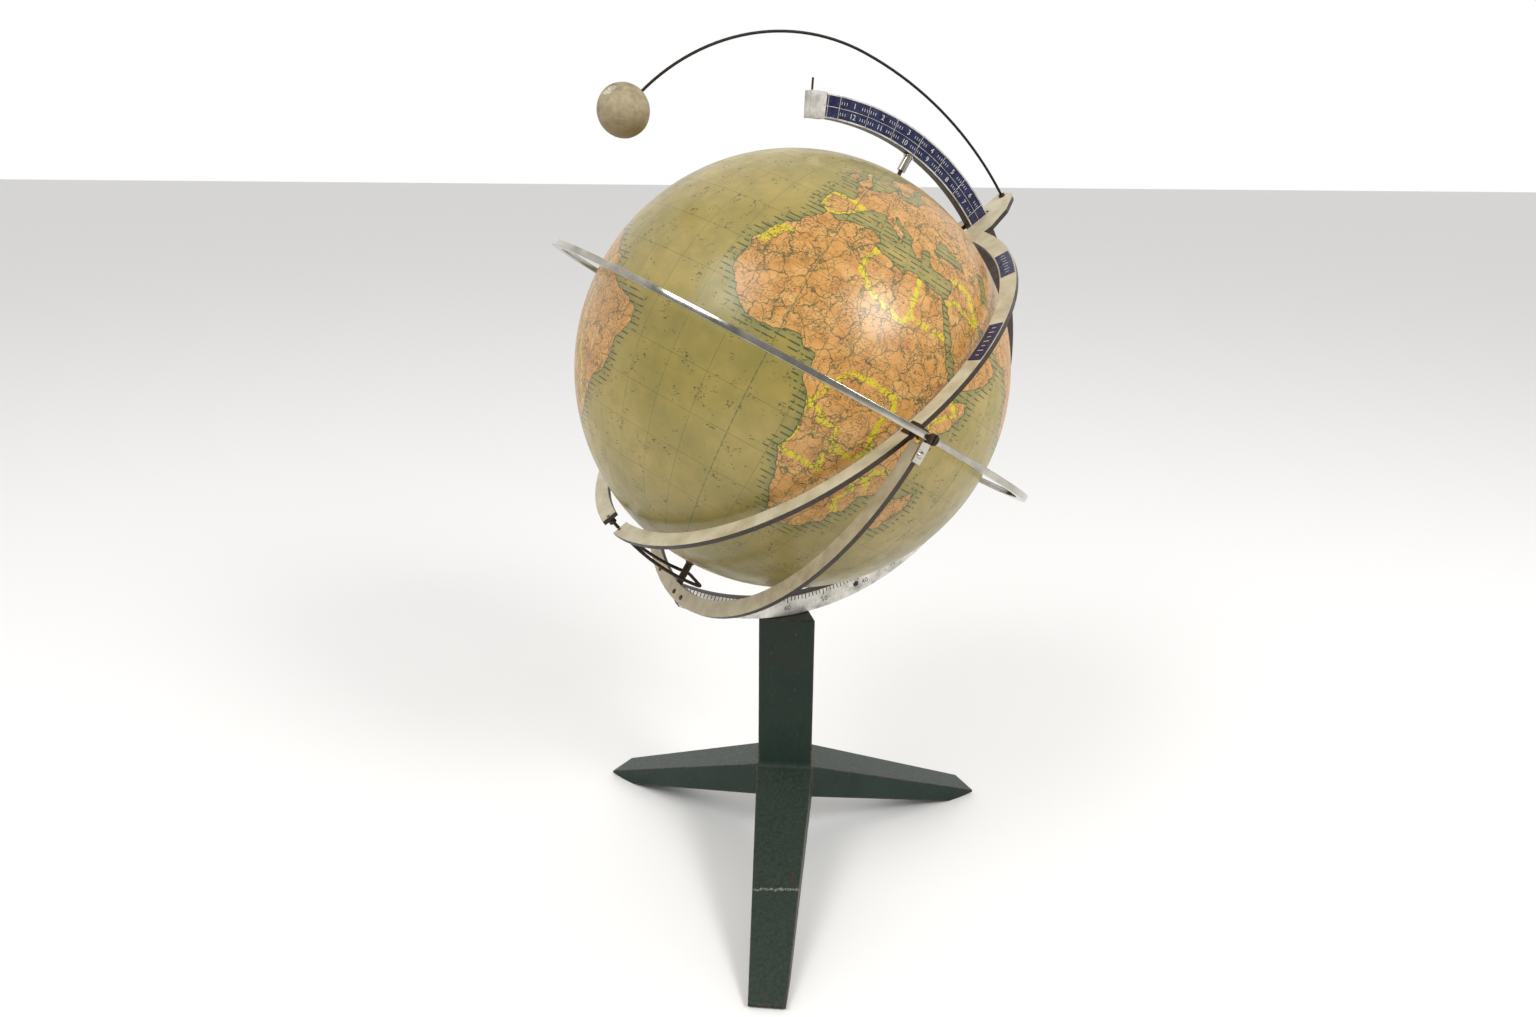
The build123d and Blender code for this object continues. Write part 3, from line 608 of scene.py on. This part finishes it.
eurasia = [
    (-5.6, 36), (-2, 36.7), (0, 38.7), (3.2, 42), (6, 43.2), (9, 44.4), (10.5, 42.8), (12.5, 41.5),
    (15.5, 40), (15.7, 38), (17, 39), (16.5, 40.5), (18.5, 40.2), (16, 41.8), (13.6, 43.6),
    (12.4, 45.4), (13.8, 45), (15.5, 43.5), (19.3, 41.8), (19.5, 40), (21.3, 37.8), (22.5, 36.5),
    (24, 38), (23, 40.2), (26, 40.8), (26.3, 39.2), (27.3, 37), (30.5, 36.5), (34, 36.3),
    (36, 36.6), (35.7, 34), (34.3, 31.3), (32.6, 30), (34.9, 29.5), (37, 25.5), (39, 21.5),
    (42.6, 16.5), (43.5, 12.8), (48, 14), (52, 15.8), (55, 17.5), (59.8, 22.5), (56.4, 24.5),
    (56.3, 26.3), (54, 24.2), (51.5, 24.5), (50.2, 26.6), (48, 30), (50.5, 29.8), (54, 26.7),
    (57, 27), (61.5, 25.2), (66.6, 25.2), (68.5, 23.3), (70, 21), (72.7, 20.5), (73, 17), (75, 12),
    (77.5, 8.1), (79.5, 10.2), (80.3, 15.5), (85, 19.8), (88.5, 21.7), (91.8, 22.3), (94.3, 17.5),
    (97.6, 16.3), (98.5, 10), (100.4, 6.5), (103.5, 1.4), (103.4, 4.8), (100.3, 8.5), (100, 13),
    (102.5, 12), (105, 8.7), (109, 11.8), (108.5, 15.5), (106, 19.5), (108.3, 21.6), (113.5, 22.2),
    (118, 24.5), (121.5, 28.5), (121.8, 31.5), (119.3, 35), (122.5, 37), (118, 39), (121.5, 40.7),
    (125, 39.6), (126.5, 35), (129.3, 35.5), (127.7, 39.7), (132, 43), (138, 47), (140.5, 52),
    (137, 54), (143, 59), (155, 59.5), (157, 52), (162, 56), (164, 60), (172, 60.5), (179.5, 65),
    (178, 69), (160, 69.7), (140, 72.5), (113, 73.6), (105, 77.5), (87, 75), (75, 72), (68, 68.5),
    (55, 68.5), (44, 66.5), (38, 64.5), (41, 66.8), (33, 69.3), (25, 71), (15, 68.2), (10, 63.8),
    (5, 61.5), (6, 58.3), (8, 58.1), (10.5, 59.2), (12.8, 55.8), (16, 56.8), (18.5, 60),
    (17.5, 62), (22, 65.7), (25.3, 65), (21.5, 61.5), (23, 60), (29.5, 60), (24, 58.8),
    (21.3, 56.5), (20, 54.6), (14, 54), (11, 54.2), (10, 57.5), (8.2, 55.5), (8, 53.7), (4, 51.7),
    (1.6, 50.8), (-1.5, 49.5), (-4.6, 48.4), (-1.2, 46), (-1.6, 43.4), (-8.8, 43.5), (-9.2, 38.7),
    (-8.8, 37),
]
south_america = [
    (-77.5, 8.5), (-75, 10.8), (-71.8, 12.3), (-70, 11.5), (-62, 10.6), (-57, 6), (-51.5, 4.5),
    (-50, 0), (-44.5, -2.7), (-39.5, -3.2), (-35.3, -5.3), (-34.9, -8.5), (-38.9, -13.5),
    (-39.2, -17.8), (-41, -22), (-46, -24), (-48.6, -28), (-53.5, -33.8), (-57, -36.5), (-62, -39),
    (-65, -42.5), (-67.5, -46.5), (-69, -51), (-68, -54.8), (-74, -52), (-75.5, -46.5),
    (-73.5, -40), (-71.5, -30), (-70.3, -18.5), (-76.2, -14), (-81, -6), (-80, -2), (-77.5, 3.5),
]
north_america = [
    (-80, 8), (-83.5, 10.5), (-83.3, 15), (-88, 16), (-87, 21.5), (-90.5, 21), (-91, 18.7),
    (-95, 18.7), (-97.5, 23), (-97, 27.5), (-94, 29.5), (-89.5, 29.3), (-84, 30), (-82.6, 27.8),
    (-81, 25.2), (-80.2, 27), (-81.3, 31), (-76, 35), (-74, 40), (-70, 42), (-66, 44.8), (-61, 46),
    (-65, 49), (-60, 50.2), (-56, 52.5), (-62, 57), (-65, 60.3), (-70, 61), (-78, 62.5), (-77, 57),
    (-79.5, 51.5), (-82.5, 55), (-92.5, 57), (-94, 61), (-87, 65), (-82, 68.5), (-95, 71.5),
    (-110, 68), (-128, 70), (-156.5, 71.2), (-166, 68.3), (-162, 64), (-165, 61), (-158, 58),
    (-152, 59.5), (-145, 60.5), (-136, 58.5), (-130, 54), (-124.5, 48.3), (-124, 40.5),
    (-120.5, 34.5), (-117, 32.5), (-112, 24.5), (-109.5, 23), (-112.5, 29.5), (-109, 26),
    (-105.5, 20.5), (-97, 15.9), (-88, 13), (-85.7, 10),
]
smaller_lands = [
    [(49.2, -12), (50.4, -15.8), (47.5, -24.7), (44, -25), (43.5, -21.5), (44.5, -16.2)],
    [(-45, 60), (-52, 65), (-54, 70), (-66, 76), (-60, 82), (-32, 83.5), (-18, 80), (-22, 72),
     (-33, 67.5), (-41, 63)],
    [(114, -22), (122, -18), (129, -15), (132, -11.5), (136.5, -12), (135.5, -15), (140.5, -17.5),
     (142.5, -10.8), (146, -19), (153, -25.5), (151, -33.5), (146.5, -39), (140, -38),
     (137.5, -35.5), (131, -31.5), (124, -33.5), (115.5, -34.3)],
    [(-5.5, 50), (1.3, 51.3), (0.3, 53), (-2, 56), (-3, 58.6), (-5.5, 58), (-3.2, 54.8),
     (-4.6, 52.8)],
    [(-6.3, 52.3), (-6, 54.5), (-8.3, 55), (-10, 53.5), (-9.8, 51.7)],
    [(-22, 64), (-14, 65), (-16, 66.4), (-23, 66.2)],
    [(8.5, 39), (9.7, 39.3), (9.6, 41.1), (8.3, 40.8)],
    [(12.5, 37.9), (15.2, 36.8), (15.5, 38.2)],
    [(23.6, 35.4), (26.2, 35.3), (24.8, 34.8)],
    [(95.5, 5.5), (103, 0), (105.8, -5.8), (101, -2.5)],
    [(109, 1.5), (114, 4.5), (119, 5), (117.5, 0), (114.5, -4), (110, -2)],
    [(105.5, -6.5), (114.3, -7.5), (114.3, -8.6), (106, -7.4)],
    [(131, -1), (138, -1.8), (147.5, -6), (150.5, -10.6), (143, -8.5), (138, -8.3), (134, -4)],
    [(130, 31.5), (131.5, 34), (140, 36), (141.5, 40), (141.5, 45), (139.5, 42), (136.5, 37),
     (131, 34.5)],
    [(80, 9.7), (81.8, 7), (80.3, 6)],
    [(172.7, -34.5), (178, -37.8), (174, -41.5), (171, -46), (167, -45.5), (172, -41)],
]
inland_seas = [
    [(28, 42), (29, 41.2), (35, 42), (41.3, 41.5), (37, 45), (33, 46), (30, 46.3)],
    [(49, 45), (53, 45.5), (53, 40), (54, 37), (49.5, 37.5), (50, 41)],
]
yellow_lands = [
    [(-13, 27.7), (-8.7, 27.4), (-8.9, 26), (-12, 25.6), (-12, 23.5), (-13, 23), (-13, 21.3),
     (-17, 21.3), (-15, 25)],
]
borders = [
    [(-9, 43.3), (-1.6, 43.2), (3.2, 42.2), (0, 38.7), (-2, 36.8), (-5.6, 36.2), (-9, 37.2),
     (-9, 43.3)],
    [(11.5, 33.2), (10, 30.5), (9.5, 26.5), (14, 22.5), (24, 19.5), (25, 22), (25, 31.5)],
    [(25, 22), (31, 22), (36.8, 22)],
    [(12.2, -6), (16.5, -5.9), (17, -8), (21.7, -7.3), (22, -11), (24, -11), (24, -13), (22, -13),
     (22, -16.2), (23.3, -17.6), (18, -17.4), (12, -17.2), (13.4, -12), (12.8, -8), (12.2, -6)],
    [(12.5, -5.2), (16, 1), (18, 4.5), (24, 5), (30, 4), (31, 1.5), (29.3, -2), (29.5, -6),
     (30.7, -8.5), (28.5, -12), (25, -11.5), (22, -11)],
    [(34.5, -26), (32, -24), (31.3, -22.3), (33, -18), (30.4, -15.8), (34, -14.5), (35.8, -16),
     (34.5, -12), (40.4, -10.5)],
    [(43, 11.5), (48, 8), (42, 4.2), (41, -1.7)],
    [(-55, 4), (-58, -2), (-60, -12), (-58, -20), (-54, -25), (-56, -30), (-54, -33)],
    [(-68, -2), (-70, -10), (-66, -18), (-63, -22), (-68, -28), (-70, -38)],
    [(36, 36.6), (42, 37.2), (45, 33), (47, 30), (44, 29.5), (38, 32), (35, 30)],
]


def chart_distance(points, outline, closed):
    """Least distance in globe millimetres from each (longitude, latitude) to an outline."""
    scale = radians(1) * globe_radius / mm
    squeeze = np.cos(np.radians(points[:, 1]))
    best = np.full(len(points), 1e9)
    ends = outline[1:] + outline[:1] if closed else outline[1:]
    for (x0, y0), (x1, y1) in zip(outline, ends):
        ax, ay = (points[:, 0] - x0) * squeeze, points[:, 1] - y0
        bx, by = (x1 - x0) * squeeze, y1 - y0
        along = np.clip((ax * bx + ay * by) / (bx * bx + by * by + 1e-12), 0, 1)
        best = np.minimum(best, np.hypot(ax - along * bx, ay - along * by))
    return best * scale


def inside(points, outline):
    """Whether each (longitude, latitude) lies within a closed outline."""
    result = np.zeros(len(points), bool)
    for (x0, y0), (x1, y1) in zip(outline, outline[1:] + outline[:1]):
        if y0 == y1:
            continue
        crosses = (points[:, 1] > y0) != (points[:, 1] > y1)
        result ^= crosses & (points[:, 0] < x0 + (points[:, 1] - y0) * (x1 - x0) / (y1 - y0))
    return result


def signed_shore(points, outlines):
    """Distance to the nearest outline, positive within."""
    best = np.full(len(points), -1e9)
    for outline in outlines:
        distance = chart_distance(points, outline, True)
        best = np.maximum(best, np.where(inside(points, outline), distance, -distance))
    return best


def globe_halves():
    """Two shells that meet at the equator, each with its chart coordinates and distances to the outlines."""
    around, up = ((400, 200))
    halves = (("globe_map_north", 1, "globe_north_shell"), ("globe_map_south", -1, "globe_south_shell"))
    for name, sign, node in halves:
        bm = bmesh.new()
        bmesh.ops.create_uvsphere(bm, u_segments=around, v_segments=up, radius=globe_radius)
        everything = bm.verts[:] + bm.edges[:] + bm.faces[:]
        cut_away = (0, 0, -sign)
        bmesh.ops.bisect_plane(bm, geom=everything, plane_co=(0, 0, 0), plane_no=cut_away, clear_outer=True)
        hole = 3.2 * mm
        bmesh.ops.delete(bm, geom=[v for v in bm.verts if Vector(v.co[:2]).length < hole], context="VERTS")
        bmesh.ops.remove_doubles(bm, verts=bm.verts, dist=0.001 * mm)
        bmesh.ops.recalc_face_normals(bm, faces=bm.faces)
        bmesh.ops.solidify(bm, geom=bm.faces, thickness=globe_wall)
        coords = np.array([v.co for v in bm.verts])
        spin = radians(nearest_longitude)
        latitude = np.degrees(np.arcsin(np.clip(coords[:, 2] / np.linalg.norm(coords, axis=1), -1, 1)))
        longitude = np.degrees(np.arctan2(coords[:, 1], coords[:, 0]))
        points = np.column_stack((((longitude + degrees(spin) + 180) % 360) - 180, latitude))
        land = signed_shore(points, [africa, eurasia, south_america, north_america] + smaller_lands)
        land = np.minimum(land, -signed_shore(points, inland_seas))
        ice = (-72 - latitude) * radians(1) * globe_radius / mm
        land = np.maximum(land, ice)
        line = np.min([chart_distance(points, border, False) for border in borders], axis=0)
        tint = signed_shore(points, yellow_lands)
        uv = bm.loops.layers.uv.new("chart")
        for face in bm.faces:
            middle = face.calc_center_median()
            home = degrees(atan2(middle.y, middle.x))
            for loop in face.loops:
                own = longitude[loop.vert.index]
                own += 360 * round((home - own) / 360)
                loop[uv].uv = ((own + nearest_longitude) / 360, latitude[loop.vert.index] / 180)
        for label, values in (("shore_mm", land), ("border_mm", line), ("tint_mm", tint)):
            layer = bm.verts.layers.float.new(label)
            for vert, value in zip(bm.verts, np.clip(values, -60, 60)):
                vert[layer] = float(value)
        bm.transform(equator_frame)
        make_piece(bm, name, "globe", map_paper, (node,), tidy=False)


def equator_band():
    """Polished ring with rounded corners."""
    bm = bmesh.new()
    rim = equator_outer - 0.05 * mm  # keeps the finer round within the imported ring's facets
    profile = box_profile(equator_inner, rim, -equator_half, equator_half, 0.35 * mm, 3)
    sweep_ring(bm, profile, 0, 360, 360)
    bm.transform(equator_frame)
    make_piece(bm, "equator_band", "cage", nickel, ("equator_ring",))


def latitude_marks():
    """Degree ticks and figures on the silvered plate, counted from the equator to the south pole."""
    bm = bmesh.new()
    for degree in range(0, 89):
        if abs(degree - 41) < 1:
            continue
        length = 4.2 if degree % 10 == 0 else 3.4 if degree % 5 == 0 else 2.7
        angle = -degree - 1.6 if degree == 0 else -degree
        radius = meridian_inner + (0.3 + length / 2) * mm
        place = on_face(meridian_frame, radius, angle, meridian_face + 0.02 * mm)
        add_bar(bm, place, 0.6 * mm, length * mm, 0.05 * mm)
    for degree in range(10, 90, 10):
        shift = 1.6 if degree == 40 else 0  # clear of the sight hole
        radius = meridian_inner + 7.6 * mm
        place = on_face(meridian_frame, radius, shift - degree, meridian_face + 0.02 * mm, 180)
        add_text(bm, str(degree), 4.6 * mm, place)
    make_piece(bm, "latitude_marks", "cage", black_ink, tidy=False)


def month_frame():
    """Silver rims and cell walls on the blue plate, with white month numbers from midwinter to midsummer."""
    first, last = 65.2, 114.4
    walls = bmesh.new()
    low, high = meridian_face, meridian_face + 0.25 * mm
    for inner, outer in ((141.1, 142.0), (147.2, 147.5), (153.0, 153.9)):
        strip = bmesh.new()
        sweep_ring(strip, box_profile(inner * mm, outer * mm, low, high, 0.08 * mm, 1), first, last, 60)
        part = bpy.data.meshes.new("strip")
        strip.to_mesh(part)
        strip.free()
        walls.from_mesh(part)
        bpy.data.meshes.remove(part)
    cells = 6
    end_margin = 3.2
    step = (last - first - 2 * end_margin) / cells
    cuts = [first + end_margin + step * index for index in range(cells + 1)]
    for cut in cuts + [first + 0.4, last - 0.4]:
        place = on_face(Matrix.Identity(4), 147.5 * mm, cut, (low + high) / 2)
        add_bar(walls, place, 0.3 * mm, 12 * mm, high - low)
    walls.transform(meridian_frame)
    make_piece(walls, "month_frame", "cage", silver, tidy=False)
    marks = bmesh.new()
    for index in range(cells):
        middle = last - end_margin - step * (index + 0.5)
        for radius, number in ((150.2, index + 1), (144.6, 12 - index)):
            place = on_face(meridian_frame, radius * mm, middle, meridian_face + 0.04 * mm)
            add_text(marks, str(number), 4.0 * mm, place)
            for side in (-1, 1):
                for offset in (1.9, 2.5, 3.1):
                    spot = middle + side * offset
                    place = on_face(meridian_frame, radius * mm, spot, meridian_face + 0.03 * mm)
                    add_bar(marks, place, 0.3 * mm, 1.6 * mm, 0.05 * mm)
    make_piece(marks, "month_numbers", "cage", white_ink, tidy=False)


def meridian_ticks():
    """Faint divisions on the bare moulding between the equator and the month plate."""
    bm = bmesh.new()
    for index in range(1, 36):
        angle = 1.8 * index
        if angle > 63:
            break
        place = on_face(meridian_frame, meridian_inner + 5 * mm, angle, 3.0 * mm)
        add_bar(bm, place, 0.35 * mm, 8 * mm, 0.08 * mm)
    make_piece(bm, "meridian_ticks", "cage", browned, tidy=False)


def label_marks():
    """Short generic strokes on the two blue labels of the season ring."""
    bm = bmesh.new()
    for first, last in ((25.6, 37.0), (57.0, 69.0)):
        count = 7
        for index in range(count):
            angle = 90 - (first + (last - first) * (index + 1) / (count + 1))
            length = 3.2 if index % 2 else 2.0
            place = on_face(ring_frame, 134.7 * mm, angle, ring_face)
            add_bar(bm, place, 0.45 * mm, length * mm, 0.12 * mm)
    make_piece(bm, "label_strokes", "season_ring", white_ink, tidy=False)


def hairpin():
    """Round spring wire: two legs bent about the hinge, joined across their far ends by tight bends."""
    start, end = -90 - 24.5 - 0.55, -87.4
    corner = 3.0 * mm
    points = []
    steps = 14
    near, far = hairpin_legs
    stop = end - degrees(corner / hairpin_radius)
    for step in range(steps + 1):
        points.append((start + (stop - start) * step / steps, near))
    for turn in (22.5, 45, 67.5, 90):
        lift = corner * (1 - cos(radians(turn)))
        points.append((stop + degrees(corner * sin(radians(turn)) / hairpin_radius), near + lift))
    mirrored = [(angle, near + far - offset) for angle, offset in reversed(points)]
    route = []
    for angle, offset in points + mirrored:
        spot = Vector((hairpin_radius * cos(radians(angle)), hairpin_radius * sin(radians(angle)), offset))
        route.append(meridian_frame @ spot)
    curve = bpy.data.curves.new("hairpin", "CURVE")
    curve.dimensions = "3D"
    curve.bevel_depth = hairpin_wire
    curve.bevel_resolution = 5
    curve.use_fill_caps = True
    line = curve.splines.new("POLY")
    line.points.add(len(route) - 1)
    for point, spot in zip(line.points, route):
        point.co = (*spot, 1)
    holder = bpy.data.objects.new("hairpin", curve)
    bpy.context.scene.collection.objects.link(holder)
    bpy.context.view_layer.update()
    mesh = bpy.data.meshes.new_from_object(holder.evaluated_get(bpy.context.evaluated_depsgraph_get()))
    bm = bmesh.new()
    bm.from_mesh(mesh)
    bpy.data.objects.remove(holder)
    bpy.data.curves.remove(curve)
    bpy.data.meshes.remove(mesh)
    make_piece(bm, "hairpin_wire", "season_ring", browned, ("hairpin_bracket",))


def sun():
    """Cast plaster ball, a little uneven, with a chip broken out of its upper left."""
    low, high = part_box("sun_ball")
    middle = (low + high) / 2
    radius = 13.4 * mm
    bm = bmesh.new()
    bmesh.ops.create_icosphere(bm, subdivisions=6, radius=radius)
    chip = bm.verts.layers.float.new("chip")
    chip_way = Vector((-0.45, -0.45, 0.77)).normalized()
    for vert in bm.verts:
        way = vert.co.normalized()
        lumps = noise.noise(way * 3.1) * 0.12 * mm + noise.noise(way * 14) * 0.05 * mm
        near = way.dot(chip_way) + 0.035 * noise.noise(way * 9) + 0.02 * noise.noise(way * 26)
        bite = max(0.0, near - 0.945) / 0.055
        vert.co = way * (radius + lumps - min(1.0, bite * 1.6) * 2.6 * mm)
        vert[chip] = min(1.0, bite * 3)
    bm.transform(Matrix.Translation(middle))
    make_piece(bm, "plaster_sun", "season_ring", plaster, ("sun_ball",), smooth_limit=60)


globe_halves()
equator_band()
latitude_marks()
month_frame()
meridian_ticks()
label_marks()
hairpin()
sun()


# ---------------------------------------------------------------- floor, light and camera
def studio():
    """Pale floor, soft lights where the varnish shows them, and the camera."""
    bm = bmesh.new()
    bmesh.ops.create_grid(bm, x_segments=1, y_segments=1, size=12)
    mesh = bpy.data.meshes.new("floor")
    bm.to_mesh(mesh)
    bm.free()
    floor = bpy.data.objects.new("floor", mesh)
    floor.location = (0, 0, -0.0002)
    bpy.context.scene.collection.objects.link(floor)
    made, tree, shader, place = new_material("pale floor")
    shader.inputs["Base Color"].default_value = linear("#F4F3F1")
    shader.inputs["Roughness"].default_value = 0.9
    shader.inputs["Specular IOR Level"].default_value = 0.1
    mesh.materials.append(made)

    world = bpy.data.worlds.new("studio")
    bpy.context.scene.world = world
    world.use_nodes = True
    # White behind the object and dimmer in front of it, so that plated parts have something dark to mirror.
    tree = world.node_tree
    direction = add(tree, "SeparateXYZ", None, Vector=add(tree, "TexCoord")[0])
    strength = between(tree, direction[1], -0.55, 0.35, 0.38, 1.0)
    tree.links.new(strength, tree.nodes["Background"].inputs["Strength"])
    tree.nodes["Background"].inputs["Color"].default_value = (1, 1, 1, 1)

    lamps = (
        ("key", (0.626, -0.528, 0.573), 1.9, 0.6, 19),
        ("fill", (-0.474, -0.479, 0.739), 2.2, 1.0, 19),
    )
    for name, direction, distance, size, power in lamps:
        lamp = bpy.data.lights.new(name, "AREA")
        lamp.size = size
        lamp.energy = power
        holder = bpy.data.objects.new(name, lamp)
        way = Vector(direction).normalized()
        holder.location = centre + way * distance
        holder.rotation_euler = way.to_track_quat("Z", "Y").to_euler()
        bpy.context.scene.collection.objects.link(holder)

    camera = bpy.data.cameras.new("camera")
    camera.sensor_width = 36
    camera.lens = 24.11
    camera.clip_start = 0.01
    distance, height_angle = 607.5 * mm, radians(12.0)
    yaw, pitch, roll = radians(-1.27), radians(19.47), radians(0.44)
    eye = centre + distance * Vector((0, -cos(height_angle), sin(height_angle)))
    forward = Vector((sin(yaw) * cos(pitch), cos(yaw) * cos(pitch), -sin(pitch)))
    right = forward.cross(Vector((0, 0, 1))).normalized()
    up = right.cross(forward)
    right, up = cos(roll) * right + sin(roll) * up, cos(roll) * up - sin(roll) * right
    holder = bpy.data.objects.new("camera", camera)
    turn = Matrix((right, up, -forward)).transposed().to_4x4()
    holder.matrix_world = Matrix.Translation(eye) @ turn
    bpy.context.scene.collection.objects.link(holder)
    bpy.context.scene.camera = holder


studio()

bpy.context.scene.view_settings.view_transform = "Standard"
